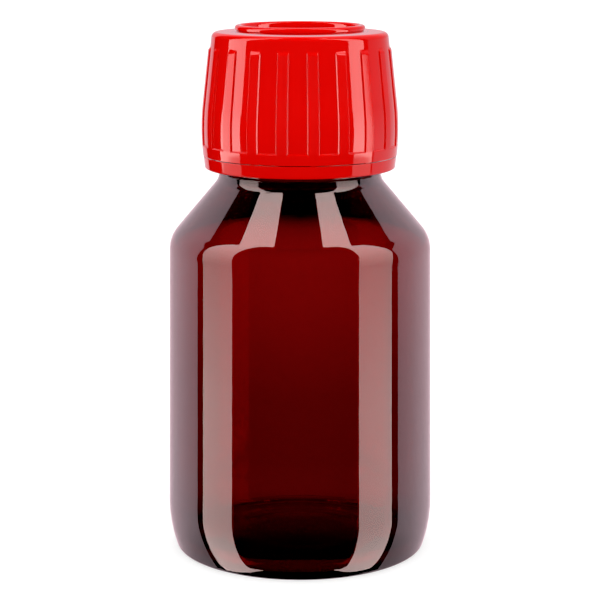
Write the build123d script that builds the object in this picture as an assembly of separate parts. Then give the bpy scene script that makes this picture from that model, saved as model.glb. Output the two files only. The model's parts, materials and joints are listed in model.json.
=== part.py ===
from build123d import *
import os
from math import atan2, cos, hypot, radians, sin, tan

# A small pharmacy bottle closed by a ribbed screw cap with a tamper-evident band.
# Millimetres, +Z up. The origin is the centre of the plane that the bottle stands on.
# Every outline below is a half section: corners of (radius, height, rounding).

# Bottle body
BODY_RADIUS = 20.75
BODY_WALL = 1.0
SHOULDER_TURN = 40.1       # degrees between the shoulder cone and the vertical
SHOULDER_FOOT = 48.5       # height where the shoulder cone meets the body cylinder
SHOULDER_ROUNDING = 5.3
HEEL_TURN = 19.2           # degrees between the tapered heel and the vertical
HEEL_CORNER = 3.9          # height where the heel taper meets the body cylinder
HEEL_ROUNDING = 20.5
FOOT_ROUNDING = 0.8
FOOT_RING_WIDTH = 1.6
PUSH_UP = 1.6              # hollow under the bottle
PUSH_UP_RADIUS = 8.0
PUSH_UP_ROUNDING = 8.0
HOLLOW_BEND_RADIUS = 11.5  # where the hollow's flank flattens towards the foot ring
HOLLOW_BEND_HEIGHT = 0.75
GATE_RADIUS = 1.5
GATE_HEIGHT = 0.35
FLOOR_THICKNESS = 1.1

# Neck and its thread
COLLAR_RADIUS = 12.9
COLLAR_ROUNDING = 2.3
COLLAR_TOP = 58.72
COLLAR_TOP_SLOPE = 0.33    # the collar's top face rises this much towards the neck
NECK_RADIUS = 12.5
BORE_RADIUS = 10.85
LIP_TOP = 77.9
PITCH = 3.18
THREAD_CREST_RADIUS = 13.6
THREAD_ROOT_WIDTH = 2.3
THREAD_CREST_WIDTH = 0.9
THREAD_SINK = 0.15         # how far a thread's root runs into the wall that carries it
NECK_THREAD_START = 71.2
NECK_THREAD_TURNS = 1.5
CATCH_RADIUS = 14.0        # bead that the tamper band hooks under
CATCH_BOTTOM = 61.2
CATCH_TOP = 62.5

# Pouring ring pressed into the bore
INSERT_INTERFERENCE = 0.05
INSERT_FLANGE_RADIUS = 12.1
INSERT_FLANGE_THICKNESS = 0.6
INSERT_DEPTH = 6.5
INSERT_WALL = 0.9
INSERT_MOUTH_RADIUS = 8.6

# Sealing liner
LINER_RADIUS = 13.5
LINER_BOTTOM = 78.54
LINER_TOP = 79.72

# Cap
CAP_TOP = 81.15
CAP_BOTTOM = 61.6
CAP_TOP_ROUNDING = 0.9
CAP_CEILING = 79.75
CAP_BORE_RADIUS = 13.9
SKIRT_BORE_RADIUS = 14.3
SKIRT_BORE_TOP = 63.9
CAP_THREAD_CREST_RADIUS = 12.75
CAP_THREAD_TURNS = 2.25
BARREL_CORNER_RADIUS = 15.61   # where the two tapers of the cap's side would meet
BARREL_CORNER_HEIGHT = 66.12
BARREL_TAPER = 5.83            # degrees, above and below that corner
BARREL_ROUNDING = 37.0
RIB_COUNT = 20
RIB_WIDTH = 1.75
RIB_HEIGHT = 0.30
RIB_TOP = 78.3
RIB_RUN_OUT = 0.8
RIB_PHASE = -82.35             # degrees from +X to the first rib's centre
RING_TOP = 63.3                # plain ring below the ribs
RIM_INNER_RADIUS = 9.3
RIM_ROOT_RADIUS = 10.1
RIM_RADIUS = 10.43
RIM_TOP = 82.25
RIM_FLOOR = 80.8

# Tamper band and the bridges that tie it to the cap
BAND_TOP = 61.48
BAND_BOTTOM = 59.5
BAND_TOP_RADIUS = 15.38
BAND_BOTTOM_RADIUS = 15.14
BAND_BORE_RADIUS = 14.3
BAND_HOOK_RADIUS = 13.1
BAND_HOOK_TOP = 60.9
BRIDGE_COUNT = 10
BRIDGE_WIDTH = 0.9
BRIDGE_INNER_RADIUS = 14.55
BRIDGE_OUTER_RADIUS = 15.15
BRIDGE_HEIGHT = 0.1


def rounded_outline(corners):
    """A flat face in the radius-height plane, its corners rounded by tangent arcs."""
    edges = []
    joints = []
    for index, (radius, height, rounding) in enumerate(corners):
        before = corners[index - 1]
        after = corners[(index + 1) % len(corners)]
        towards_before = unit(before[0] - radius, before[1] - height)
        towards_after = unit(after[0] - radius, after[1] - height)
        if rounding == 0:
            joints.append(((radius, height), (radius, height)))
            continue
        cosine = towards_before[0] * towards_after[0] + towards_before[1] * towards_after[1]
        sine = abs(towards_before[0] * towards_after[1] - towards_before[1] * towards_after[0])
        half_angle = atan2(sine, cosine) / 2
        reach = rounding / tan(half_angle)
        entry = (radius + reach * towards_before[0], height + reach * towards_before[1])
        leave = (radius + reach * towards_after[0], height + reach * towards_after[1])
        middle = unit(towards_before[0] + towards_after[0], towards_before[1] + towards_after[1])
        depth = rounding / sin(half_angle) - rounding
        summit = (radius + depth * middle[0], height + depth * middle[1])
        edges.append(ThreePointArc(entry, summit, leave))
        joints.append((entry, leave))
    for index, (entry, leave) in enumerate(joints):
        next_entry = joints[(index + 1) % len(joints)][0]
        if hypot(next_entry[0] - leave[0], next_entry[1] - leave[1]) > 1e-6:
            edges.append(Line(leave, next_entry))
    return make_face(Wire(edges))


def unit(across, up):
    length = hypot(across, up)
    return across / length, up / length


def turned(corners):
    """The solid swept by a half section turning once about the vertical axis."""
    return revolve(Plane.XZ * rounded_outline(corners), Axis.Z)


def thread(root_radius, crest_radius, start_height, start_angle, turns):
    """One right-hand helical thread standing on a wall of root_radius."""
    inward = 1 if crest_radius < root_radius else -1
    sunk_radius = root_radius + inward * THREAD_SINK
    slope = (THREAD_ROOT_WIDTH - THREAD_CREST_WIDTH) / abs(root_radius - crest_radius)
    sunk_half = (THREAD_ROOT_WIDTH + slope * THREAD_SINK) / 2
    crest_half = THREAD_CREST_WIDTH / 2
    section = Plane.XZ * make_face(Polyline(
        (sunk_radius, -sunk_half),
        (crest_radius, -crest_half),
        (crest_radius, crest_half),
        (sunk_radius, sunk_half),
        close=True,
    ))
    path = Helix(pitch=PITCH, height=turns * PITCH, radius=root_radius)
    return Pos(0, 0, start_height) * Rot(0, 0, start_angle) * sweep(section, path, is_frenet=True)


def bottle_outside():
    heel_foot_radius = BODY_RADIUS - HEEL_CORNER * tan(radians(HEEL_TURN))
    shoulder_slope = tan(radians(SHOULDER_TURN))
    collar_foot = SHOULDER_FOOT + (BODY_RADIUS - COLLAR_RADIUS) / shoulder_slope
    return turned([
        (0, PUSH_UP - GATE_HEIGHT, 0),
        (GATE_RADIUS, PUSH_UP - GATE_HEIGHT, 0.15),
        (GATE_RADIUS + 0.2, PUSH_UP, 0.1),
        (PUSH_UP_RADIUS, PUSH_UP, PUSH_UP_ROUNDING),
        (HOLLOW_BEND_RADIUS, HOLLOW_BEND_HEIGHT, PUSH_UP_ROUNDING),
        (heel_foot_radius - FOOT_RING_WIDTH - FOOT_ROUNDING, 0, 1.2),
        (heel_foot_radius, 0, FOOT_ROUNDING),
        (BODY_RADIUS, HEEL_CORNER, HEEL_ROUNDING),
        (BODY_RADIUS, SHOULDER_FOOT, SHOULDER_ROUNDING),
        (COLLAR_RADIUS, collar_foot, COLLAR_ROUNDING),
        (COLLAR_RADIUS, COLLAR_TOP, 0.08),
        (NECK_RADIUS, COLLAR_TOP + COLLAR_TOP_SLOPE, 0.1),
        (NECK_RADIUS, CATCH_BOTTOM, 0.2),
        (CATCH_RADIUS, CATCH_BOTTOM, 0.2),
        (CATCH_RADIUS - 0.2, CATCH_TOP - 0.8, 0.3),
        (NECK_RADIUS, CATCH_TOP, 0.3),
        (NECK_RADIUS, LIP_TOP, 0.4),
        (0, LIP_TOP, 0),
    ])


def bottle_inside():
    inner_radius = BODY_RADIUS - BODY_WALL
    slant = radians(SHOULDER_TURN)
    shoulder_slope = tan(slant)
    # The inner cone runs parallel to the outer one, a wall's thickness inside it.
    inner_foot = SHOULDER_FOOT + (BODY_WALL - BODY_WALL / cos(slant)) / shoulder_slope
    bore_foot = inner_foot + (inner_radius - BORE_RADIUS) / shoulder_slope
    heel_slope = tan(radians(HEEL_TURN))
    floor_edge_radius = inner_radius - (HEEL_CORNER - FLOOR_THICKNESS) * heel_slope
    floor_middle = PUSH_UP + FLOOR_THICKNESS
    return turned([
        (0, floor_middle, 0),
        (PUSH_UP_RADIUS, floor_middle, PUSH_UP_ROUNDING),
        (HOLLOW_BEND_RADIUS, FLOOR_THICKNESS + 0.35, PUSH_UP_ROUNDING),
        (floor_edge_radius, FLOOR_THICKNESS, 2.2),
        (inner_radius, HEEL_CORNER, 14.0),
        (inner_radius, inner_foot, SHOULDER_ROUNDING - BODY_WALL),
        (BORE_RADIUS, bore_foot, 2.0),
        (BORE_RADIUS, LIP_TOP + 1, 0),
        (0, LIP_TOP + 1, 0),
    ])


def bottle():
    neck_thread = thread(
        NECK_RADIUS, THREAD_CREST_RADIUS, NECK_THREAD_START, 0, NECK_THREAD_TURNS)
    return bottle_outside() + neck_thread - bottle_inside()


def pour_insert():
    """A pouring ring: a flange on the lip, a plug in the bore and a narrow mouth."""
    plug_radius = BORE_RADIUS + INSERT_INTERFERENCE
    flange_top = LIP_TOP + INSERT_FLANGE_THICKNESS
    inner_radius = plug_radius - INSERT_WALL
    return turned([
        (INSERT_MOUTH_RADIUS, flange_top, 0.15),
        (INSERT_FLANGE_RADIUS, flange_top, 0.15),
        (INSERT_FLANGE_RADIUS, LIP_TOP, 0),
        (plug_radius, LIP_TOP, 0),
        (plug_radius, LIP_TOP - INSERT_DEPTH + 1, 0),
        (plug_radius - 0.4, LIP_TOP - INSERT_DEPTH, 0.15),
        (inner_radius, LIP_TOP - INSERT_DEPTH, 0.15),
        (inner_radius, LIP_TOP - 0.4, 0.3),
        (INSERT_MOUTH_RADIUS, LIP_TOP - 0.4, 0.15),
    ])


def sealing_liner():
    return turned([
        (0, LINER_BOTTOM, 0),
        (LINER_RADIUS, LINER_BOTTOM, 0.1),
        (LINER_RADIUS, LINER_TOP, 0.1),
        (0, LINER_TOP, 0),
    ])


def barrel_side(proud):
    """Top, middle and bottom corners of the cap's side, proud of the panels by a distance."""
    slope = tan(radians(BARREL_TAPER))
    middle_radius = BARREL_CORNER_RADIUS + proud
    top = (middle_radius - slope * (CAP_TOP - BARREL_CORNER_HEIGHT), CAP_TOP)
    bottom = (middle_radius - slope * (BARREL_CORNER_HEIGHT - CAP_BOTTOM), CAP_BOTTOM)
    return top, (middle_radius, BARREL_CORNER_HEIGHT), bottom


def cap_core():
    """The cap without its ribs: ceiling, top rim and the smooth side between the ribs."""
    top, middle, bottom = barrel_side(0)
    return turned([
        (0, RIM_FLOOR, 0),
        (RIM_INNER_RADIUS, RIM_FLOOR, 0.25),
        (RIM_INNER_RADIUS, RIM_TOP, 0.45),
        (RIM_RADIUS, RIM_TOP, 0.5),
        (RIM_RADIUS, RIM_TOP - 0.75, 0.15),
        (RIM_ROOT_RADIUS, CAP_TOP, 0.12),
        (*top, CAP_TOP_ROUNDING),
        (*middle, BARREL_ROUNDING),
        (*bottom, 0),
        (SKIRT_BORE_RADIUS, CAP_BOTTOM, 0),
        (SKIRT_BORE_RADIUS, SKIRT_BORE_TOP, 0.3),
        (CAP_BORE_RADIUS, SKIRT_BORE_TOP + 0.4, 0.3),
        (CAP_BORE_RADIUS, CAP_CEILING, 0.1),
        (0, CAP_CEILING, 0),
    ])


def grip_envelope():
    """The ring that touches every rib's face, with the run-out at the ribs' upper ends."""
    top, middle, bottom = barrel_side(RIB_HEIGHT)
    panel_top, _, _ = barrel_side(0)
    slope = tan(radians(BARREL_TAPER))
    rib_top_radius = top[0] + slope * (CAP_TOP - RIB_TOP)
    run_out_height = RIB_TOP + RIB_RUN_OUT
    run_out_radius = panel_top[0] + slope * (CAP_TOP - run_out_height)
    return turned([
        (CAP_BORE_RADIUS + 0.2, run_out_height, 0),
        (run_out_radius, run_out_height, 0),
        (rib_top_radius, RIB_TOP, 0.4),
        (*middle, BARREL_ROUNDING),
        (*bottom, 0.15),
        (SKIRT_BORE_RADIUS, CAP_BOTTOM, 0),
        (SKIRT_BORE_RADIUS, SKIRT_BORE_TOP, 0),
        (CAP_BORE_RADIUS + 0.2, SKIRT_BORE_TOP + 0.4, 0),
    ])


def cap_shell():
    cap_height = CAP_TOP - CAP_BOTTOM
    reach = BARREL_CORNER_RADIUS + 2
    mask = Pos(0, 0, (RING_TOP + CAP_BOTTOM) / 2) * Cylinder(reach, RING_TOP - CAP_BOTTOM)
    rib_block = Pos(reach / 2, 0, CAP_BOTTOM + cap_height / 2) * Box(reach, RIB_WIDTH, cap_height)
    for index in range(RIB_COUNT):
        mask += Rot(0, 0, RIB_PHASE + index * 360 / RIB_COUNT) * rib_block
    # The cap's thread lies half a pitch below the neck's thread, in its groove.
    lead_in = CAP_THREAD_TURNS - NECK_THREAD_TURNS
    start_height = NECK_THREAD_START - PITCH / 2 - lead_in * PITCH
    cap_thread = thread(
        CAP_BORE_RADIUS, CAP_THREAD_CREST_RADIUS, start_height, -360 * lead_in, CAP_THREAD_TURNS)
    return cap_core() + (grip_envelope() & mask) + cap_thread


def tamper_band():
    """The band, with the inner hook that catches under the neck's bead."""
    return turned([
        (BAND_TOP_RADIUS, BAND_TOP, 0.12),
        (BAND_BORE_RADIUS, BAND_TOP, 0),
        (BAND_BORE_RADIUS, BAND_HOOK_TOP + 0.2, 0.1),
        (BAND_HOOK_RADIUS, BAND_HOOK_TOP, 0.15),
        (BAND_HOOK_RADIUS, BAND_HOOK_TOP - 0.6, 0.15),
        (BAND_BORE_RADIUS, BAND_BOTTOM, 0.1),
        (BAND_BOTTOM_RADIUS, BAND_BOTTOM, 0.32),
    ])


def break_bridges():
    """Thin ties on the band's top edge; they snap from the cap at the first opening."""
    depth = BRIDGE_OUTER_RADIUS - BRIDGE_INNER_RADIUS
    middle_radius = (BRIDGE_OUTER_RADIUS + BRIDGE_INNER_RADIUS) / 2
    bridge = Pos(middle_radius, 0, BAND_TOP + BRIDGE_HEIGHT / 2) * Box(
        depth, BRIDGE_WIDTH, BRIDGE_HEIGHT)
    return Compound([
        Rot(0, 0, RIB_PHASE + index * 360 / BRIDGE_COUNT) * bridge for index in range(BRIDGE_COUNT)])


PIECES = {
    "bottle": bottle,
    "pour_insert": pour_insert,
    "sealing_liner": sealing_liner,
    "cap_shell": cap_shell,
    "tamper_band": tamper_band,
    "break_bridges": break_bridges,
}

os.makedirs("parts", exist_ok=True)
for name, build in PIECES.items():
    export_step(build(), f"parts/{name}.step")
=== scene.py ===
import bpy
import json
import numpy as np
from math import atan2, cos, hypot, pi, radians, sin, tan
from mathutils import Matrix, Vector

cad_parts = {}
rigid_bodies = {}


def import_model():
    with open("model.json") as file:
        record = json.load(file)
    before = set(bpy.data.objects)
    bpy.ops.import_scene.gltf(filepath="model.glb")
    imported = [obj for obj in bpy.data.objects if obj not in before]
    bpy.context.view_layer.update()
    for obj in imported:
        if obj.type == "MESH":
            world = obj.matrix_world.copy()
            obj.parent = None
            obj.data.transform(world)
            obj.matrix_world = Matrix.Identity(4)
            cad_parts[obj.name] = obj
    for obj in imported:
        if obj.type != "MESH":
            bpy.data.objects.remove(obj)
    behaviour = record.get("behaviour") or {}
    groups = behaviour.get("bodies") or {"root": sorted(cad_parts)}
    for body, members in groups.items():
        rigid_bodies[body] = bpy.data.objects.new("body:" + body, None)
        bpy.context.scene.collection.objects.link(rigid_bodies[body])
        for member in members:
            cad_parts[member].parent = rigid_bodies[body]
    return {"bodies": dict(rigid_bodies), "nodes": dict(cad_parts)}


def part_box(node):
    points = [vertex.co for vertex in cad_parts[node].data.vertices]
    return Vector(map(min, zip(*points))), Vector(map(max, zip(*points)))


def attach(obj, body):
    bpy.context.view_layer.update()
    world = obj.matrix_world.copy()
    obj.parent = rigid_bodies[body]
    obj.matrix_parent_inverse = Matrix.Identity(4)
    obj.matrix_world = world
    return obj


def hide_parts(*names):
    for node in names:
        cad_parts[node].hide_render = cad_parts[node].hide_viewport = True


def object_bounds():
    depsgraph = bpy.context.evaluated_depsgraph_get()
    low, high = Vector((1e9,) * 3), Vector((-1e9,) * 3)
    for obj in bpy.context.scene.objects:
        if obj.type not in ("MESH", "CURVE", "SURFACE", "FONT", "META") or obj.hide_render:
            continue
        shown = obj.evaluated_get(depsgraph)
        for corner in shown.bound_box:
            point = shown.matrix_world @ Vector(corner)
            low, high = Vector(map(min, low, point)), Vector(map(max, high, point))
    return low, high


# The looks of a small amber pharmacy bottle with a red ribbed screw cap.
# Lengths in the outlines are millimetres and are turned into metres as meshes are made.
# An outline is a half section: corners of (radius, height, rounding).
# It runs so that the material lies on its left.

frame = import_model()
cad_low, cad_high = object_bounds()

MM = 0.001
ARC_STEP = radians(6)    # a rounding is cut at least this finely in angle
ARC_CHORD = 0.4          # and at least this finely in length


def top_of(node):
    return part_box(node)[1].z / MM


def bottom_of(node):
    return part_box(node)[0].z / MM


def reach_of(node):
    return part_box(node)[1].x / MM


# Bottle
BODY_RADIUS = reach_of("bottle")
BODY_WALL = 1.0
SHOULDER_TURN = radians(40.1)    # between the shoulder cone and the vertical
SHOULDER_FOOT = 48.5             # where the cone meets the body cylinder
SHOULDER_ROUNDING = 5.3
HEEL_TURN = radians(19.2)        # between the tapered heel and the vertical
HEEL_CORNER = 3.9                # where the taper meets the body cylinder
HEEL_ROUNDING = 20.5
FOOT_ROUNDING = 0.8
FOOT_RING_WIDTH = 1.6
PUSH_UP = 1.6                    # hollow under the bottle
PUSH_UP_RADIUS = 8.0
PUSH_UP_ROUNDING = 8.0
HOLLOW_BEND_RADIUS = 11.5        # where the hollow's flank flattens towards the foot ring
HOLLOW_BEND_HEIGHT = 0.75
GATE_RADIUS = 1.5
GATE_HEIGHT = 0.35
INNER_HEEL_ROUNDING = 14.0
FLOOR_EDGE_ROUNDING = 1.5
FLOOR_THICKNESS = 0.6            # thinner than the CAD's, so that the foot shows no dark rings
COLLAR_RADIUS = 12.9
COLLAR_ROUNDING = 2.3
COLLAR_TOP = 58.72
COLLAR_TOP_SLOPE = 0.33
NECK_RADIUS = 12.5
BORE_RADIUS = 10.85
LIP_TOP = top_of("bottle")
CATCH_RADIUS = 14.0              # bead that the tamper band hooks under
CATCH_BOTTOM = 61.2
CATCH_TOP = 62.5

# Threads
PITCH = 3.18
NECK_THREAD_HEIGHT = 1.1
CAP_THREAD_HEIGHT = 1.15
THREAD_ROOT_WIDTH = 2.3
THREAD_CREST_WIDTH = 0.9
NECK_THREAD_START = 71.2
NECK_THREAD_TURNS = 1.5
CAP_THREAD_TURNS = 2.25
THREAD_RUN_OUT = 0.05      # of a turn, at each end

# Pouring ring
FLANGE_RADIUS = 12.1
MOUTH_RADIUS = 8.6
PLUG_WALL = 0.85

# Liner
LIP_MARK_INNER = 9.4       # ring that the bottle's lip has pressed into the foam
LIP_MARK_OUTER = 11.8
LIP_MARK_SLOPE = 0.4
LIP_MARK_DEPTH = 0.1

# Cap
CAP_TOP = 81.15
CAP_TOP_ROUNDING = 0.9
CAP_BOTTOM = bottom_of("cap_shell")
CAP_CEILING = 79.75
CAP_BORE_RADIUS = 13.9
SKIRT_BORE_RADIUS = 14.3
SKIRT_BORE_TOP = 63.9
BARREL_CORNER_RADIUS = 15.61
BARREL_CORNER_HEIGHT = 66.12
BARREL_TAPER = radians(5.83)
BARREL_ROUNDING = 37.0
RIB_COUNT = 20
RIB_HALF_WIDTH = radians(3.3)
RIB_FLANK = radians(0.62)
RIB_HEIGHT = 0.30
RIB_TOP = 78.3
RIB_RUN_OUT = 0.55
RIB_PHASE = radians(-82.35)
RING_TOP = 63.3
RING_STEP = 0.22
RIM_INNER_RADIUS = 9.3
RIM_ROOT_RADIUS = 10.1
RIM_RADIUS = 10.43
RIM_TOP = top_of("cap_shell")
RIM_FLOOR = 80.8
GATE_MARK_RADIUS = 1.6     # raised ring round the dimple in the middle of the cap
GATE_MARK_HEIGHT = 0.22

# Band
BAND_TOP = top_of("tamper_band")
BAND_BOTTOM = bottom_of("tamper_band")
BAND_TOP_RADIUS = 15.38
BAND_BOTTOM_RADIUS = 15.14
BAND_BORE_RADIUS = 14.3
BAND_HOOK_RADIUS = 13.1
BAND_HOOK_TOP = 60.9


# ---------------------------------------------------------------- outlines and meshes

def unit(across, up):
    length = hypot(across, up)
    return across / length, up / length


def rounded(corners, closed=False):
    """Rows along an outline: (radius, height, normal before, normal after)."""
    rows = []
    last = len(corners) - 1
    for index, (radius, height, rounding) in enumerate(corners):
        before = corners[index - 1]
        after = corners[(index + 1) % len(corners)]
        into = unit(radius - before[0], height - before[1])
        out = unit(after[0] - radius, after[1] - height)
        if not closed and index == 0:
            into = out
        if not closed and index == last:
            out = into
        start = atan2(into[1], into[0])
        turn = atan2(into[0] * out[1] - into[1] * out[0], into[0] * out[0] + into[1] * out[1])
        if rounding == 0 or abs(turn) < 1e-6:
            rows.append((radius, height, (into[1], -into[0]), (out[1], -out[0])))
            continue
        reach = rounding * tan(abs(turn) / 2)
        side = 1 if turn > 0 else -1
        centre_radius = radius - reach * into[0] - side * rounding * into[1]
        centre_height = height - reach * into[1] + side * rounding * into[0]
        steps = max(2, int(np.ceil(abs(turn) / ARC_STEP)), int(np.ceil(abs(turn) * rounding / ARC_CHORD)))
        for step in range(steps + 1):
            heading = start + turn * step / steps
            normal = (sin(heading), -cos(heading))
            rows.append((
                centre_radius + side * rounding * normal[0],
                centre_height + side * rounding * normal[1],
                normal,
                normal))
    return rows


def refined(rows, low, high, spacing, least_radius=0.0):
    """The rows with extra ones wherever the outline passes between two heights."""
    result = [rows[0]]
    for before, after in zip(rows, rows[1:]):
        middle = (before[1] + after[1]) / 2
        length = hypot(after[0] - before[0], after[1] - before[1])
        extra = int(length / spacing) if low < middle < high and before[0] > least_radius else 0
        for step in range(1, extra + 1):
            share = step / (extra + 1)
            normal = unit(
                before[3][0] * (1 - share) + after[2][0] * share,
                before[3][1] * (1 - share) + after[2][1] * share)
            result.append((
                before[0] * (1 - share) + after[0] * share,
                before[1] * (1 - share) + after[1] * share,
                normal,
                normal))
        result.append(after)
    return result


def relief_normals(flat, full, slope_along, slope_around, angles):
    """Normals of the turned surface, bent by the relief's slopes along and around it."""
    outward = flat[:, 0][:, None]
    upward = flat[:, 1][:, None]
    across = np.broadcast_to(outward, full.shape)
    around = -slope_around / np.maximum(full, 1e-3) * outward
    climb = upward - slope_along
    vector = np.stack([
        across * np.cos(angles) - around * np.sin(angles),
        across * np.sin(angles) + around * np.cos(angles),
        climb], axis=-1)
    return vector / np.linalg.norm(vector, axis=-1, keepdims=True)


def row_vertices(points, poles, closed):
    """All vertices, and where each row's begin. A row on the axis has one vertex only."""
    vertices = []
    first = []
    for index, pole in enumerate(poles):
        if closed and index == len(poles) - 1:
            first.append(0)
        elif pole:
            first.append(len(vertices))
            vertices.append(points[index, 0])
        else:
            first.append(len(vertices))
            vertices.extend(points[index])
    return vertices, first


def row_faces(first, poles, normals_before, normals_after, columns):
    """The faces between neighbouring rows, and a normal for each of their corners."""
    faces = []
    corner_normals = []
    for index in range(len(first) - 1):
        lower, upper = first[index], first[index + 1]
        low_normal, high_normal = normals_after[index], normals_before[index + 1]
        for column in range(columns):
            turn = (column + 1) % columns
            if poles[index]:
                faces.append((lower, upper + turn, upper + column))
                corner_normals += [low_normal[column], high_normal[turn], high_normal[column]]
            elif poles[index + 1]:
                faces.append((lower + column, lower + turn, upper))
                corner_normals += [low_normal[column], low_normal[turn], high_normal[column]]
            else:
                faces.append((lower + column, lower + turn, upper + turn, upper + column))
                corner_normals += [low_normal[column], low_normal[turn]]
                corner_normals += [high_normal[turn], high_normal[column]]
    return faces, corner_normals


def turned(name, rows, angles, relief=None, closed=False):
    """A watertight mesh: the outline turned about the vertical axis, with a radial relief."""
    if closed:
        rows = rows + rows[:1]
    radius = np.array([row[0] for row in rows])
    height = np.array([row[1] for row in rows])
    raised = np.zeros((len(rows), len(angles)))
    if relief is not None:
        raised = relief(angles[None, :], radius[:, None], height[:, None])
    full = radius[:, None] + raised

    along = np.maximum(np.hypot(np.diff(radius), np.diff(height)), 1e-6)
    slope_along = np.gradient(raised, np.concatenate([[0], np.cumsum(along)]), axis=0)
    wide_angles = np.concatenate([[angles[-1] - 2 * pi], angles, [angles[0] + 2 * pi]])
    wide = np.concatenate([raised[:, -1:], raised, raised[:, :1]], axis=1)
    slope_around = np.gradient(wide, wide_angles, axis=1)[:, 1:-1]
    before, after = (
        relief_normals(np.array([row[side] for row in rows]), full, slope_along, slope_around, angles)
        for side in (2, 3))

    points = np.stack([
        full * np.cos(angles),
        full * np.sin(angles),
        np.broadcast_to(height[:, None], full.shape)], axis=-1) * MM
    poles = [row[0] < 1e-6 for row in rows]
    vertices, first = row_vertices(points, poles, closed)
    faces, corner_normals = row_faces(first, poles, before, after, len(angles))
    mesh = bpy.data.meshes.new(name)
    mesh.from_pydata(vertices, [], faces)
    mesh.polygons.foreach_set("use_smooth", np.ones(len(faces), bool))
    mesh.normals_split_custom_set(corner_normals)
    piece = bpy.data.objects.new(name, mesh)
    bpy.context.scene.collection.objects.link(piece)
    return piece


def even_angles(count):
    return np.arange(count) * 2 * pi / count


def smooth_step(low, high, value):
    share = np.clip((value - low) / (high - low), 0, 1)
    return share * share * (3 - 2 * share)


def thread_relief(angles, height, start_height, start_turn, turns):
    """From 0 to 1: the section of a right-hand thread at each angle and height."""
    relief = 0
    for lap in range(-1, 5):
        travelled = angles / (2 * pi) - start_turn + lap
        away = np.abs(height - start_height - PITCH * travelled)
        section = smooth_step(THREAD_ROOT_WIDTH / 2 + 0.1, THREAD_CREST_WIDTH / 2 - 0.1, away)
        begun = smooth_step(0, THREAD_RUN_OUT, travelled)
        left = smooth_step(turns, turns - THREAD_RUN_OUT, travelled)
        relief = np.maximum(relief, section * begun * left)
    return relief


def finished(piece, body, node, material):
    """Gives a piece its material and its body, and takes the CAD node's place."""
    piece.data.materials.append(material)
    piece.visible_glossy = body not in ("cap", "band")
    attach(piece, body)
    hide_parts(node)
    return piece


# ---------------------------------------------------------------- the pieces

PARTING_ANGLES = (0.0, pi)
PARTING_FOOT = 1.0
PARTING_HEIGHT = 0.02
PARTING_HALF_WIDTH = 0.16


def bottle_relief(angles, radius, height):
    """The neck's thread, and the mould's fine parting line down both sides of the outer skin."""
    neck = (radius > NECK_RADIUS - 0.01) & (radius < NECK_RADIUS + 0.01) & (height > CATCH_TOP)
    thread = neck * thread_relief(angles, height, NECK_THREAD_START, 0, NECK_THREAD_TURNS)
    wall = (height > PARTING_FOOT) & (height < COLLAR_TOP - 0.5) & (radius > COLLAR_RADIUS - 0.05)
    away = np.abs((angles + pi / 2) % pi - pi / 2) * np.maximum(radius, 1)
    line = smooth_step(PARTING_HALF_WIDTH, 0, away) * smooth_step(0, 1.5, height - PARTING_FOOT)
    return thread * NECK_THREAD_HEIGHT + wall * outside_wall(radius, height) * line * PARTING_HEIGHT


def outside_wall(radius, height):
    """True on the bottle's outer skin, and false on the inner skin, a wall's thickness inside."""
    cone = BODY_RADIUS - (height - SHOULDER_FOOT) * tan(SHOULDER_TURN)
    heel = BODY_RADIUS - (HEEL_CORNER - height) * tan(HEEL_TURN)
    skin = np.minimum(np.minimum(cone, heel), BODY_RADIUS)
    skin = np.maximum(skin, COLLAR_RADIUS)
    return radius > skin - BODY_WALL * 0.6


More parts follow.
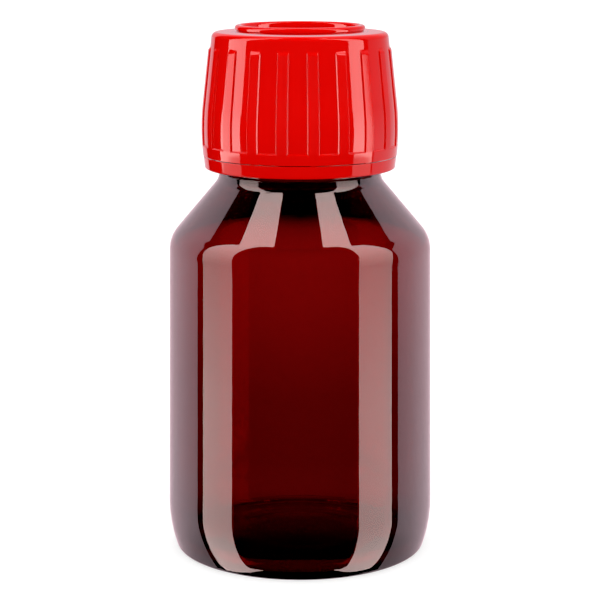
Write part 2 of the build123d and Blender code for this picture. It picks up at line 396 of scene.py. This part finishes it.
def moulded_bottle():
    """The bottle, its outer skin first, then over the lip and down the inner skin."""
    heel_foot = BODY_RADIUS - HEEL_CORNER * tan(HEEL_TURN)
    slope = tan(SHOULDER_TURN)
    collar_foot = SHOULDER_FOOT + (BODY_RADIUS - COLLAR_RADIUS) / slope
    inner = BODY_RADIUS - BODY_WALL
    inner_foot = SHOULDER_FOOT + (BODY_WALL - BODY_WALL / cos(SHOULDER_TURN)) / slope
    bore_foot = inner_foot + (inner - BORE_RADIUS) / slope
    floor_edge = inner - (HEEL_CORNER - FLOOR_THICKNESS) * tan(HEEL_TURN)
    floor_middle = PUSH_UP + FLOOR_THICKNESS
    rows = rounded([
        (0, PUSH_UP - GATE_HEIGHT, 0),
        (GATE_RADIUS, PUSH_UP - GATE_HEIGHT, 0.15),
        (GATE_RADIUS + 0.2, PUSH_UP, 0.1),
        (PUSH_UP_RADIUS, PUSH_UP, PUSH_UP_ROUNDING),
        (HOLLOW_BEND_RADIUS, HOLLOW_BEND_HEIGHT, PUSH_UP_ROUNDING),
        (heel_foot - FOOT_RING_WIDTH - FOOT_ROUNDING, 0, 1.2),
        (heel_foot, 0, FOOT_ROUNDING),
        (BODY_RADIUS, HEEL_CORNER, HEEL_ROUNDING),
        (BODY_RADIUS, SHOULDER_FOOT, SHOULDER_ROUNDING),
        (COLLAR_RADIUS, collar_foot, COLLAR_ROUNDING),
        (COLLAR_RADIUS, COLLAR_TOP, 0.08),
        (NECK_RADIUS, COLLAR_TOP + COLLAR_TOP_SLOPE, 0.1),
        (NECK_RADIUS, CATCH_BOTTOM, 0.2),
        (CATCH_RADIUS, CATCH_BOTTOM, 0.2),
        (CATCH_RADIUS - 0.2, CATCH_TOP - 0.8, 0.3),
        (NECK_RADIUS, CATCH_TOP, 0.3),
        (NECK_RADIUS, LIP_TOP, 0.4),
        (BORE_RADIUS, LIP_TOP, 0.3),
        (BORE_RADIUS, bore_foot, 2.0),
        (inner, inner_foot, SHOULDER_ROUNDING - BODY_WALL),
        (inner, HEEL_CORNER, INNER_HEEL_ROUNDING),
        (floor_edge, FLOOR_THICKNESS, FLOOR_EDGE_ROUNDING),
        (HOLLOW_BEND_RADIUS, FLOOR_THICKNESS + HOLLOW_BEND_HEIGHT, PUSH_UP_ROUNDING),
        (PUSH_UP_RADIUS, floor_middle, PUSH_UP_ROUNDING),
        (0, floor_middle, 0),
    ])
    rows = refined(rows, CATCH_TOP + 5, LIP_TOP - 0.5, 0.2, NECK_RADIUS - 0.01)
    rows = refined(rows, 0.5, COLLAR_TOP, 2.0)
    near = np.array([0.0015, 0.003, 0.0055, 0.008])    # extra columns beside each parting line
    extra = np.concatenate([np.concatenate([angle + near, angle - near]) for angle in PARTING_ANGLES])
    angles = np.unique(np.round(np.concatenate([even_angles(256), extra % (2 * pi)]), 9))
    piece = turned("moulded_bottle", rows, angles, bottle_relief)
    return finished(piece, "bottle", "bottle", amber_pet())


def pouring_ring():
    """The white pouring ring: flange on the lip, plug in the bore and a narrow mouth."""
    plug = BORE_RADIUS
    flange_top = top_of("pour_insert")
    foot = bottom_of("pour_insert")
    inner = plug - PLUG_WALL
    rows = rounded([
        (MOUTH_RADIUS, LIP_TOP - 0.4, 0.15),
        (inner, LIP_TOP - 0.4, 0.3),
        (inner, foot, 0.15),
        (plug - 0.4, foot, 0.15),
        (plug, foot + 1, 0.3),
        (plug, LIP_TOP - 1.2, 0.2),
        (plug - 0.1, LIP_TOP - 1.0, 0.1),
        (plug - 0.1, LIP_TOP, 0),
        (FLANGE_RADIUS, LIP_TOP, 0.1),
        (FLANGE_RADIUS, flange_top, 0.15),
        (MOUTH_RADIUS, flange_top, 0.15),
    ], closed=True)
    piece = turned("pouring_ring", rows, even_angles(160), closed=True)
    return finished(piece, "bottle", "pour_insert", natural_polyethylene())


def foam_liner():
    """The foam disc, with the ring that the bottle's lip has pressed into it."""
    low, high = bottom_of("sealing_liner"), top_of("sealing_liner")
    edge = reach_of("sealing_liner")
    rows = rounded([
        (0, low, 0),
        (LIP_MARK_INNER - LIP_MARK_SLOPE, low, 0.3),
        (LIP_MARK_INNER, low + LIP_MARK_DEPTH, 0.3),
        (LIP_MARK_OUTER, low + LIP_MARK_DEPTH, 0.3),
        (LIP_MARK_OUTER + LIP_MARK_SLOPE, low, 0.3),
        (edge, low, 0.25),
        (edge, high, 0.12),
        (0, high, 0),
    ])
    piece = turned("foam_liner", rows, even_angles(160))
    return finished(piece, "liner", "sealing_liner", polyethylene_foam())


def cap_relief(angles, radius, height):
    """Grip ribs and the plain ring outside, and the thread inside."""
    pitch = 2 * pi / RIB_COUNT
    away = np.abs((angles - RIB_PHASE + pitch / 2) % pitch - pitch / 2)
    rib = smooth_step(RIB_HALF_WIDTH + RIB_FLANK / 2, RIB_HALF_WIDTH - RIB_FLANK / 2, away)
    rib = rib * smooth_step(RIB_TOP + RIB_RUN_OUT, RIB_TOP, height)
    ring = smooth_step(RING_TOP + RING_STEP / 2, RING_TOP - RING_STEP / 2, height)
    side = (radius > SKIRT_BORE_RADIUS + 0.02) & (height < CAP_TOP - 1.0) & (height > CAP_BOTTOM - 0.01)
    outside = side * RIB_HEIGHT * np.maximum(rib, ring)
    bore = (np.abs(radius - CAP_BORE_RADIUS) < 0.02) & (height < CAP_CEILING - 0.3)
    lead_in = CAP_THREAD_TURNS - NECK_THREAD_TURNS
    start_height = NECK_THREAD_START - PITCH / 2 - lead_in * PITCH
    thread = thread_relief(angles, height, start_height, -lead_in, CAP_THREAD_TURNS)
    return outside - bore * CAP_THREAD_HEIGHT * thread


def cap_angles():
    """Columns that crowd together at the flanks of each rib."""
    half_pitch = pi / RIB_COUNT
    flank = RIB_HALF_WIDTH + RIB_FLANK * np.linspace(-0.62, 0.62, 9)
    half = np.concatenate([[RIB_HALF_WIDTH * 0.3, RIB_HALF_WIDTH * 0.6, RIB_HALF_WIDTH * 0.82], flank,
                           half_pitch * np.array([0.5, 0.7])])
    one = np.concatenate([-half[::-1], [0], half, [half_pitch]])
    every = [RIB_PHASE + rib * 2 * half_pitch + one for rib in range(RIB_COUNT)]
    return np.sort(np.concatenate(every) % (2 * pi))


def ribbed_cap():
    """The cap: bore first, then up the ribbed side and over the rim to the middle."""
    slope = tan(BARREL_TAPER)
    top_radius = BARREL_CORNER_RADIUS - slope * (CAP_TOP - BARREL_CORNER_HEIGHT)
    foot_radius = BARREL_CORNER_RADIUS - slope * (BARREL_CORNER_HEIGHT - CAP_BOTTOM)
    rows = rounded([
        (0, CAP_CEILING, 0),
        (CAP_BORE_RADIUS, CAP_CEILING, 0.1),
        (CAP_BORE_RADIUS, SKIRT_BORE_TOP + 0.4, 0.3),
        (SKIRT_BORE_RADIUS, SKIRT_BORE_TOP, 0.3),
        (SKIRT_BORE_RADIUS, CAP_BOTTOM, 0.05),
        (foot_radius, CAP_BOTTOM, 0.06),
        (BARREL_CORNER_RADIUS, BARREL_CORNER_HEIGHT, BARREL_ROUNDING),
        (top_radius, CAP_TOP, CAP_TOP_ROUNDING),
        (RIM_ROOT_RADIUS, CAP_TOP, 0.12),
        (RIM_RADIUS, RIM_TOP - 0.75, 0.15),
        (RIM_RADIUS, RIM_TOP, 0.5),
        (RIM_INNER_RADIUS, RIM_TOP, 0.45),
        (RIM_INNER_RADIUS, RIM_FLOOR, 0.25),
        (GATE_MARK_RADIUS, RIM_FLOOR, 0.2),
        (GATE_MARK_RADIUS - 0.25, RIM_FLOOR + GATE_MARK_HEIGHT, 0.15),
        (GATE_MARK_RADIUS - 0.9, RIM_FLOOR + GATE_MARK_HEIGHT, 0.1),
        (GATE_MARK_RADIUS - 1.05, RIM_FLOOR + 0.05, 0.05),
        (0, RIM_FLOOR + 0.05, 0),
    ])
    rows = refined(rows, RING_TOP - 0.2, RING_TOP + 0.2, 0.035, SKIRT_BORE_RADIUS + 0.1)
    rows = refined(rows, RIB_TOP - 0.15, RIB_TOP + RIB_RUN_OUT + 0.15, 0.06, SKIRT_BORE_RADIUS - 0.1)
    rows = refined(rows, SKIRT_BORE_TOP + 2, CAP_CEILING - 0.3, 0.22, CAP_BORE_RADIUS - 0.01)
    piece = turned("ribbed_cap", rows, cap_angles(), cap_relief)
    grain_faces(piece)
    return finished(piece, "cap", "cap_shell", red_polypropylene("ribbed_cap_red"))


def grain_faces(piece):
    """Marks the ribs' raised faces, which carry the mould's fine grain."""
    place = np.zeros(len(piece.data.vertices) * 3)
    piece.data.vertices.foreach_get("co", place)
    x, y, z = place.reshape(-1, 3).T / MM
    radius = np.hypot(x, y)
    pitch = 2 * pi / RIB_COUNT
    away = np.abs((np.arctan2(y, x) - RIB_PHASE + pitch / 2) % pitch - pitch / 2)
    edge = RIB_HALF_WIDTH - RIB_FLANK / 2
    grain = smooth_step(edge, edge - RIB_FLANK * 0.4, away)
    grain = grain * (z > RING_TOP) * (z < RIB_TOP + 0.05) * (radius > SKIRT_BORE_RADIUS - 0.2)
    attribute = piece.data.attributes.new("grain", "FLOAT", "POINT")
    attribute.data.foreach_set("value", grain.astype(np.float32))


def split_band():
    """The tamper band, with the hook inside that holds it under the neck's bead."""
    rows = rounded([
        (BAND_BORE_RADIUS, BAND_TOP, 0.05),
        (BAND_BORE_RADIUS, BAND_HOOK_TOP + 0.2, 0.1),
        (BAND_HOOK_RADIUS, BAND_HOOK_TOP, 0.15),
        (BAND_HOOK_RADIUS, BAND_HOOK_TOP - 0.6, 0.15),
        (BAND_BORE_RADIUS, BAND_BOTTOM, 0.1),
        (BAND_BOTTOM_RADIUS, BAND_BOTTOM, 0.32),
        (BAND_TOP_RADIUS, BAND_TOP, 0.06),
    ], closed=True)
    piece = turned("split_band", rows, even_angles(256), closed=True)
    return finished(piece, "band", "tamper_band", red_polypropylene("split_band_red"))


def bridges():
    """The break bridges keep their CAD shape and take the cap's red."""
    node = frame["nodes"]["break_bridges"]
    node.data.materials.clear()
    node.data.materials.append(red_polypropylene("bridge_red"))


# ---------------------------------------------------------------- materials

class Nodes:
    """A short way to build a material's node tree."""

    def __init__(self, tree):
        self.tree = tree
        tree.nodes.clear()

    def add(self, kind, inputs=None, **settings):
        node = self.tree.nodes.new(kind)
        for key, value in settings.items():
            setattr(node, key, value)
        for key, value in (inputs or {}).items():
            if isinstance(value, bpy.types.NodeSocket):
                self.tree.links.new(value, node.inputs[key])
            else:
                node.inputs[key].default_value = value
        return node

    def place(self):
        return self.add("ShaderNodeTexCoord").outputs["Object"]

    def noise(self, scale, detail=3.0):
        made = self.add("ShaderNodeTexNoise", {"Vector": self.place(), "Scale": scale, "Detail": detail})
        return made.outputs["Fac"]

    def maths(self, operation, first, second):
        return self.add("ShaderNodeMath", {0: first, 1: second}, operation=operation).outputs[0]

    def between(self, value, low, high, from_low=0.0, from_high=1.0):
        made = self.add("ShaderNodeMapRange", {
            "Value": value, "From Min": from_low, "From Max": from_high, "To Min": low, "To Max": high})
        return made.outputs["Result"]

    def bump(self, height, strength, distance, below=None):
        inputs = {"Height": height, "Strength": strength, "Distance": distance}
        if below is not None:
            inputs["Normal"] = below
        return self.add("ShaderNodeBump", inputs).outputs["Normal"]

    def seen_from_above(self, height):
        """1 where the ray that arrives here set off from above a height, or else 0."""
        place = self.add("ShaderNodeNewGeometry")
        length = self.add("ShaderNodeLightPath").outputs["Ray Length"]
        back = self.add("ShaderNodeSeparateXYZ", {0: place.outputs["Incoming"]}).outputs["Z"]
        here = self.add("ShaderNodeSeparateXYZ", {0: place.outputs["Position"]}).outputs["Z"]
        start = self.maths("ADD", here, self.maths("MULTIPLY", back, length))
        return self.maths("GREATER_THAN", start, height)

    def colour_mix(self, share, first, second):
        made = self.add("ShaderNodeMix", data_type="RGBA")
        for index, value in ((0, share), (6, first), (7, second)):
            if isinstance(value, bpy.types.NodeSocket):
                self.tree.links.new(value, made.inputs[index])
            else:
                made.inputs[index].default_value = value
        return made.outputs[2]


def material(name):
    made = bpy.data.materials.new(name)
    made.use_nodes = True
    return made, Nodes(made.node_tree)


def rgba(red, green, blue):
    return (red, green, blue, 1.0)


def amber_pet():
    """Clear PET with a deep red-brown dye: sharp reflections, colour from its thickness."""
    made, nodes = material("dark_amber_pet")
    ripple = nodes.bump(nodes.noise(90.0, 2.0), 0.25, 0.00003)
    skin = nodes.bump(nodes.noise(1400.0, 2.0), 0.1, 0.000004, ripple)
    roughness = nodes.between(nodes.noise(60.0), 0.0, 0.012, 0.3, 0.8)
    shader = nodes.add("ShaderNodeBsdfPrincipled", {
        "Base Color": rgba(1, 1, 1), "Roughness": roughness, "IOR": 1.57,
        "Transmission Weight": 1.0, "Normal": skin})
    dye = nodes.add("ShaderNodeVolumeAbsorption", {
        "Color": rgba(0.745, 0.0, 0.0), "Density": 3400.0})
    nodes.add("ShaderNodeOutputMaterial", {
        "Surface": shader.outputs[0], "Volume": dye.outputs[0]})
    return made


def red_polypropylene(name):
    """Glossy moulded red, with grain wherever the mesh carries the grain attribute."""
    made, nodes = material(name)
    grain = nodes.add("ShaderNodeAttribute", attribute_name="grain").outputs["Fac"]
    flow = nodes.noise(160.0, 4.0)
    colour = nodes.colour_mix(flow, rgba(0.74, 0.0009, 0.0002), rgba(0.84, 0.0013, 0.0003))
    speckle = nodes.noise(5200.0, 2.0)
    base_roughness = nodes.between(nodes.noise(700.0), 0.035, 0.06, 0.3, 0.7)
    roughness = nodes.maths("ADD", base_roughness, nodes.maths("MULTIPLY", grain, 0.05))
    ripple = nodes.bump(nodes.noise(420.0, 2.0), 0.25, 0.000006)
    tooth = nodes.bump(speckle, nodes.maths("MULTIPLY", grain, 0.8), 0.00002, ripple)
    shader = nodes.add("ShaderNodeBsdfPrincipled", {
        "Base Color": colour, "Roughness": roughness, "IOR": 1.6, "Normal": tooth,
        "Specular IOR Level": nodes.between(grain, 0.5, 0.33)})
    nodes.add("ShaderNodeOutputMaterial", {"Surface": shader.outputs[0]})
    return made


def natural_polyethylene():
    """Milky, waxy, slightly translucent white."""
    made, nodes = material("natural_ldpe")
    cloud = nodes.noise(500.0, 4.0)
    colour = nodes.colour_mix(cloud, rgba(0.80, 0.79, 0.76), rgba(0.90, 0.89, 0.87))
    skin = nodes.bump(nodes.noise(2500.0, 3.0), 0.3, 0.00001)
    shader = nodes.add("ShaderNodeBsdfPrincipled", {
        "Base Color": colour, "Roughness": nodes.between(cloud, 0.32, 0.46), "IOR": 1.51,
        "Subsurface Weight": 0.4, "Subsurface Radius": (1.0, 0.9, 0.8),
        "Subsurface Scale": 0.0012, "Normal": skin})
    nodes.add("ShaderNodeOutputMaterial", {"Surface": shader.outputs[0]})
    return made


def polyethylene_foam():
    """Matt white closed-cell foam."""
    made, nodes = material("pe_foam_white")
    bubbles = nodes.add("ShaderNodeTexVoronoi", {"Vector": nodes.place(), "Scale": 3200.0})
    cells = bubbles.outputs["Distance"]
    colour = nodes.colour_mix(cells, rgba(0.84, 0.84, 0.82), rgba(0.93, 0.93, 0.91))
    skin = nodes.bump(cells, 0.7, 0.00006)
    shader = nodes.add("ShaderNodeBsdfPrincipled", {
        "Base Color": colour, "Roughness": 0.8, "Normal": skin})
    nodes.add("ShaderNodeOutputMaterial", {"Surface": shader.outputs[0]})
    return made


# ---------------------------------------------------------------- studio

# Metres and degrees, but millimetres for the cards close to the bottle
RIG_HEIGHT = 0.04
BOX_DISTANCE = 1.0
SWEEP_DISTANCE = 1.2
BOX_LIGHT = 3.4
BOX_COLOUR = rgba(1.32, 0.97, 0.93)
SWEEP_COLOUR = rgba(1.17, 0.86, 0.96)
CAP_SWEEP_COLOUR = rgba(1.06, 0.92, 1.0)
CAP_LIGHTS_ABOVE = 0.0593    # the cap and the band have their own lights
CARD_BEHIND = 30.0
CARD_HALF_WIDTH = 60.0
SHADE_HEIGHT = 3.2
SHADE_HALF_WIDTH = 19.0
CAMERA_BACK = 0.319
CAMERA_HEIGHT = 0.1006
AIM_HEIGHT = 0.0383
LENS = 120.0
SENSOR = 36.0
# Where each light box's two edges lie, seen from the bottle, from its top end to its bottom:
# (azimuth from the camera's direction, elevation) of the inner edge, then of the outer edge.
LEFT_BOX = (
    ((-28, 84), (-76, 74)),
    ((-42, 73), (-83, 63)),
    ((-43.4, 69), (-83.6, 57.5)),
    ((-42.6, 66.7), (-83.6, 54.8)),
    ((-46, 65.6), (-85.8, 53)),
    ((-56, 63.8), (-90, 50.4)),
    ((-61, 58), (-92.8, 46)),
    ((-63.6, 41), (-95.6, 34)),
    ((-63, 26), (-95.6, 19)),
    ((-61.2, 12), (-92.6, 2)),
    ((-60.5, -10), (-92.3, -10)),
    ((-60.5, -40), (-92.3, -42)),
    ((-54, -48), (-80, -49)),
    ((-40, -50), (-60, -51.5)),
)
RIGHT_BOX = (
    ((28, 84), (68, 74)),
    ((39.3, 74), (73.2, 66)),
    ((39.8, 69.5), (74, 61.5)),
    ((38.8, 67.1), (74, 58)),
    ((43, 66.1), (76.5, 56.2)),
    ((55.5, 63.6), (84, 53.6)),
    ((59.4, 57), (88, 46.6)),
    ((58.2, 43), (90.6, 33)),
    ((56, 28), (90.8, 20)),
    ((52.6, 13), (87.2, 4)),
    ((51.8, -10), (86, -10)),
    ((51.8, -40), (84.8, -42)),
    ((47, -48), (71, -49)),
    ((37, -50), (52, -51.5)),
)
CAP_LEFT_BOX = (
    ((-56, 80), (-74, 76)),
    ((-66, 40), (-92, 36)),
    ((-72, 10), (-102, 8)),
    ((-75, -5), (-107, -6)),
    ((-76, -40), (-110, -40)),
)
CAP_RIGHT_BOX = (
    ((48, 80), (66, 76)),
    ((58, 40), (80, 36)),
    ((64, 10), (88, 8)),
    ((66, -5), (93, -6)),
    ((66, -40), (96, -40)),
)


def around_rig(azimuth, elevation, distance):
    """Points round the rig's middle. Azimuth 0 is towards the camera and grows to its right."""
    turn, rise = np.radians(azimuth), np.radians(elevation)
    across = np.sin(turn) * np.cos(rise)
    back = -np.cos(turn) * np.cos(rise)
    return np.stack([across, back, np.sin(rise)], axis=-1) * distance + np.array([0, 0, RIG_HEIGHT])


def smooth_path(knots, count):
    """Points on a smooth curve through the knots."""
    knots = np.array(knots, float)
    padded = np.concatenate([[2 * knots[0] - knots[1]], knots, [2 * knots[-1] - knots[-2]]])
    places = np.linspace(0, len(knots) - 1, count)
    lap = np.minimum(places.astype(int), len(knots) - 2)
    share = (places - lap)[:, None]
    a, b, c, d = (padded[lap + step] for step in range(4))
    return 0.5 * (2 * b + (c - a) * share + (2 * a - 5 * b + 4 * c - d) * share ** 2
                  + (3 * b - a - 3 * c + d) * share ** 3)


def stage_sheet(name, points, level, glossy, transmission):
    """A stage grid that carries a level from 0 up at each point, hidden from the camera and from
    matt surfaces. Gives the grid, its nodes and the level's socket."""
    rows, columns = level.shape
    index = np.arange(rows * columns).reshape(rows, columns)
    faces = np.stack([index[:-1, :-1], index[:-1, 1:], index[1:, 1:], index[1:, :-1]], axis=-1)
    mesh = bpy.data.meshes.new(name)
    mesh.from_pydata(points.reshape(-1, 3).tolist(), [], faces.reshape(-1, 4).tolist())
    attribute = mesh.attributes.new("level", "FLOAT", "POINT")
    attribute.data.foreach_set("value", level.ravel().astype(np.float32))
    made, nodes = material(name)
    made.cycles.emission_sampling = "NONE"
    mesh.materials.append(made)
    sheet = bpy.data.objects.new(name, mesh)
    bpy.context.scene.collection.objects.link(sheet)
    sheet.visible_camera = False
    sheet.visible_diffuse = False
    sheet.visible_shadow = False
    sheet.visible_volume_scatter = False
    sheet.visible_glossy = glossy
    sheet.visible_transmission = transmission
    return sheet, nodes, nodes.add("ShaderNodeAttribute", attribute_name="level").outputs["Fac"]


def glowing_sheet(name, points, glow, colour, transmission=False, glossy=True, for_cap=False):
    """A sheet of light that shows only to the cap, or only to everything lower."""
    sheet, nodes, level = stage_sheet(name, points, glow, glossy, transmission)
    light = nodes.add("ShaderNodeEmission", {"Color": colour, "Strength": level})
    clear = nodes.add("ShaderNodeBsdfTransparent")
    below, above = (clear, light) if for_cap else (light, clear)
    shade = nodes.add("ShaderNodeMixShader", {
        0: nodes.seen_from_above(CAP_LIGHTS_ABOVE), 1: below.outputs[0], 2: above.outputs[0]})
    nodes.add("ShaderNodeOutputMaterial", {"Surface": shade.outputs[0]})
    return sheet


def box_glow(elevation):
    """The box fades towards the table line, and its mirror image brightens again below it."""
    heights = (-50, -31, -18, -14, -12.8, -11.6, -10.8, -8, 0, 17, 39, 66)
    values = (1.5, 1.3, 1.1, 1.07, 1.1, 0.96, 0.71, 0.62, 0.75, 0.95, 1.3, 1.6)
    return np.interp(elevation, heights, values)


def cap_box_glow(elevation):
    """The cap's boxes are brightest level with its lower half."""
    heights = (-60, -14.4, -13.2, -9, 0, 6, 20)
    values = (0.25, 0.28, 1.12, 1.2, 1.05, 0.88, 0.75)
    return np.interp(elevation, heights, values)


def light_box(name, edges, level, for_cap=False):
    """A curved box of light between an inner and an outer edge, a little brighter along both."""
    inner = smooth_path([pair[0] for pair in edges], 120)
    outer = smooth_path([pair[1] for pair in edges], 120)
    across = np.concatenate([
        np.linspace(0, 0.04, 4), np.linspace(0.08, 0.92, 9), np.linspace(0.96, 1, 4)])
    place = inner[:, None] * (1 - across[:, None]) + outer[:, None] * across[:, None]
    azimuth, elevation = place[..., 0], place[..., 1]
    points = around_rig(azimuth, elevation, BOX_DISTANCE)
    edge = np.minimum(across, 1 - across)
    glow = BOX_LIGHT * level(elevation) * (1 + 0.3 * smooth_step(0.035, 0.0, edge))
    return glowing_sheet(name, points, glow, BOX_COLOUR, transmission=True, for_cap=for_cap)


def back_sweep():
    """The white sweep behind the bottle, seen only at glancing angles. It is widest low down."""
    share, elevation = np.meshgrid(np.linspace(-1, 1, 61), np.linspace(-62, 56, 60))
    widening = np.where(share < 0, 19, 13)
    azimuth = 180 + share * (67 + widening * smooth_step(38, 22, elevation))
    points = around_rig(azimuth, elevation, SWEEP_DISTANCE)
    sides = 0.5 * smooth_step(20, 65, np.abs(azimuth - 180))
    ends = 0.45 * smooth_step(-17, -38, elevation) + 0.15 * smooth_step(34, 54, elevation)
    glow = (1 + sides) * (1 - ends)
    return glowing_sheet("back_sweep", points, glow, SWEEP_COLOUR)


def cap_sweep():
    """The sweep as the cap sees it, wider on the right than on the left."""
    azimuth, elevation = np.meshgrid(np.linspace(97, 217, 49), np.linspace(-62, 70, 60))
    points = around_rig(azimuth, elevation, SWEEP_DISTANCE)
    low = 0.4 * smooth_step(12, -12, elevation)
    behind = 0.35 * smooth_step(125, 175, azimuth)
    glow = 0.22 + low + behind
    return glowing_sheet("cap_sweep", points, glow, CAP_SWEEP_COLOUR, for_cap=True)


def glow_card():
    """The lit card close behind the bottle that shows the dye's colour."""
    across = np.linspace(-CARD_HALF_WIDTH, CARD_HALF_WIDTH, 9)
    x, z = np.meshgrid(across, np.linspace(-12, 48, 121))
    points = np.stack([x, np.full_like(x, CARD_BEHIND), z], axis=-1) * MM
    levels = (-11, -8, -6.5, -5.3, -3.8, -2.3, 6, 15, 24, 32, 41, 43, 44.7, 46.7, 47.5)
    lights = (0.0, 0.03, 0.06, 0.2, 0.26, 0.45, 0.5, 0.56, 0.8, 1.03, 1.16, 1.0, 0.76, 0.16, 0.0)
    glow = np.interp(z - 2.5 * (x / 20) ** 2, levels, lights)
    return glowing_sheet("glow_card", points, glow, rgba(1, 1, 1), transmission=True, glossy=False)


def foot_shade():
    """A graded dark card over the bottle's floor, which keeps the foot as dark as the neck."""
    across = np.linspace(-SHADE_HALF_WIDTH, SHADE_HALF_WIDTH, 9)
    x, y = np.meshgrid(across, np.linspace(-SHADE_HALF_WIDTH, 6, 51))
    points = np.stack([x, y, np.full_like(x, SHADE_HEIGHT)], axis=-1) * MM
    shade = np.interp(y, (-9, -7, -4, 2, 5), (0.97, 0.85, 0.6, 0.55, 0.0))
    sheet, nodes, dark = stage_sheet("foot_shade", points, shade, glossy=False, transmission=True)
    clear = nodes.add("ShaderNodeBsdfTransparent")
    black = nodes.add("ShaderNodeEmission", {"Strength": 0.0})
    both = nodes.add("ShaderNodeMixShader", {0: dark, 1: clear.outputs[0], 2: black.outputs[0]})
    nodes.add("ShaderNodeOutputMaterial", {"Surface": both.outputs[0]})
    return sheet


def studio_floor():
    """A pale floor that looks white to the camera and is left out of the bottle's reflections."""
    reach = 4.0
    mesh = bpy.data.meshes.new("studio_floor")
    corners = [(-reach, -reach, 0), (reach, -reach, 0), (reach, reach, 0), (-reach, reach, 0)]
    mesh.from_pydata(corners, [], [(0, 1, 2, 3)])
    made, nodes = material("studio_floor")
    light = nodes.add("ShaderNodeLightPath").outputs["Is Camera Ray"]
    strength = nodes.between(light, 0.0, 0.62)
    glow = nodes.add("ShaderNodeEmission", {"Color": rgba(1, 1, 1), "Strength": strength})
    paper = nodes.add("ShaderNodeBsdfDiffuse", {"Color": rgba(0.45, 0.45, 0.45)})
    both = nodes.add("ShaderNodeAddShader", {0: glow.outputs[0], 1: paper.outputs[0]})
    nodes.add("ShaderNodeOutputMaterial", {"Surface": both.outputs[0]})
    made.cycles.emission_sampling = "NONE"
    mesh.materials.append(made)
    floor = bpy.data.objects.new("studio_floor", mesh)
    bpy.context.scene.collection.objects.link(floor)
    floor.visible_glossy = False
    floor.visible_transmission = False


def soft_world():
    """White behind the object and on matt surfaces, and black in reflections."""
    world = bpy.data.worlds.new("soft_world")
    bpy.context.scene.world = world
    world.use_nodes = True
    nodes = Nodes(world.node_tree)
    path = nodes.add("ShaderNodeLightPath")
    aim = nodes.add("ShaderNodeTexCoord").outputs["Generated"]
    rise = nodes.add("ShaderNodeSeparateXYZ", {0: aim}).outputs["Z"]
    sky = nodes.between(rise, 0.65, 1.8, -0.2, 1.0)
    matt = nodes.maths("MULTIPLY", path.outputs["Is Diffuse Ray"], sky)
    strength = nodes.maths("ADD", matt, path.outputs["Is Camera Ray"])
    shade = nodes.add("ShaderNodeBackground", {"Color": rgba(1, 1, 1), "Strength": strength})
    nodes.add("ShaderNodeOutputWorld", {"Surface": shade.outputs[0]})
    world.cycles.sampling_method = "NONE"


def driven(block, path, expression, sources):
    """Ties a camera setting to world transforms: sources are (letter, object, channel)."""
    driver = block.driver_add(path).driver
    driver.type = "SCRIPTED"
    for letter, target, channel in sources:
        variable = driver.variables.new()
        variable.name = letter
        variable.type = "TRANSFORMS"
        variable.targets[0].id = target
        variable.targets[0].transform_type = channel
        variable.targets[0].transform_space = "WORLD_SPACE"
    driver.expression = expression


def studio_camera():
    """Level, looking slightly down through a shifted lens that keeps a lifted cap in frame."""
    lens = bpy.data.cameras.new("studio_camera")
    camera = bpy.data.objects.new("studio_camera", lens)
    bpy.context.scene.collection.objects.link(camera)
    bpy.context.scene.camera = camera
    camera.location = (0, -CAMERA_BACK, CAMERA_HEIGHT)
    camera.rotation_euler = (pi / 2, 0, 0)
    lens.sensor_width = SENSOR
    lens.lens = LENS
    lens.clip_start = 0.01
    lens.clip_end = 20
    cap = frame["bodies"]["cap"]
    height = cad_high.z
    driven(lens, "lens", f"{LENS} * {height:.5f} / ({height:.5f} + r)", [("r", cap, "LOC_Z")])
    driven(
        lens, "shift_y",
        f"-{LENS / SENSOR:.5f} * {height:.5f} / ({height:.5f} + r)"
        f" * tan(atan2(z - {AIM_HEIGHT} - r / 2, sqrt(x * x + y * y)) - ({pi / 2:.6f} - t))",
        [("r", cap, "LOC_Z"), ("x", camera, "LOC_X"), ("y", camera, "LOC_Y"),
         ("z", camera, "LOC_Z"), ("t", camera, "ROT_X")])
    return camera


def studio():
    """The camera, and the lights on a rig that turns with it about the bottle's axis."""
    camera = studio_camera()
    rig = bpy.data.objects.new("light_rig", None)
    bpy.context.scene.collection.objects.link(rig)
    follow = rig.constraints.new("LOCKED_TRACK")
    follow.target = camera
    follow.track_axis = "TRACK_NEGATIVE_Y"
    follow.lock_axis = "LOCK_Z"
    sheets = (
        light_box("left_light_box", LEFT_BOX, box_glow),
        light_box("right_light_box", RIGHT_BOX, box_glow),
        light_box("cap_left_light_box", CAP_LEFT_BOX, cap_box_glow, for_cap=True),
        light_box("cap_right_light_box", CAP_RIGHT_BOX, cap_box_glow, for_cap=True),
        back_sweep(),
        cap_sweep(),
        glow_card(),
        foot_shade(),
    )
    for sheet in sheets:
        sheet.parent = rig
    studio_floor()
    soft_world()
    bpy.context.scene.view_settings.view_transform = "Standard"


moulded_bottle()
pouring_ring()
foam_liner()
ribbed_cap()
split_band()
bridges()
studio()
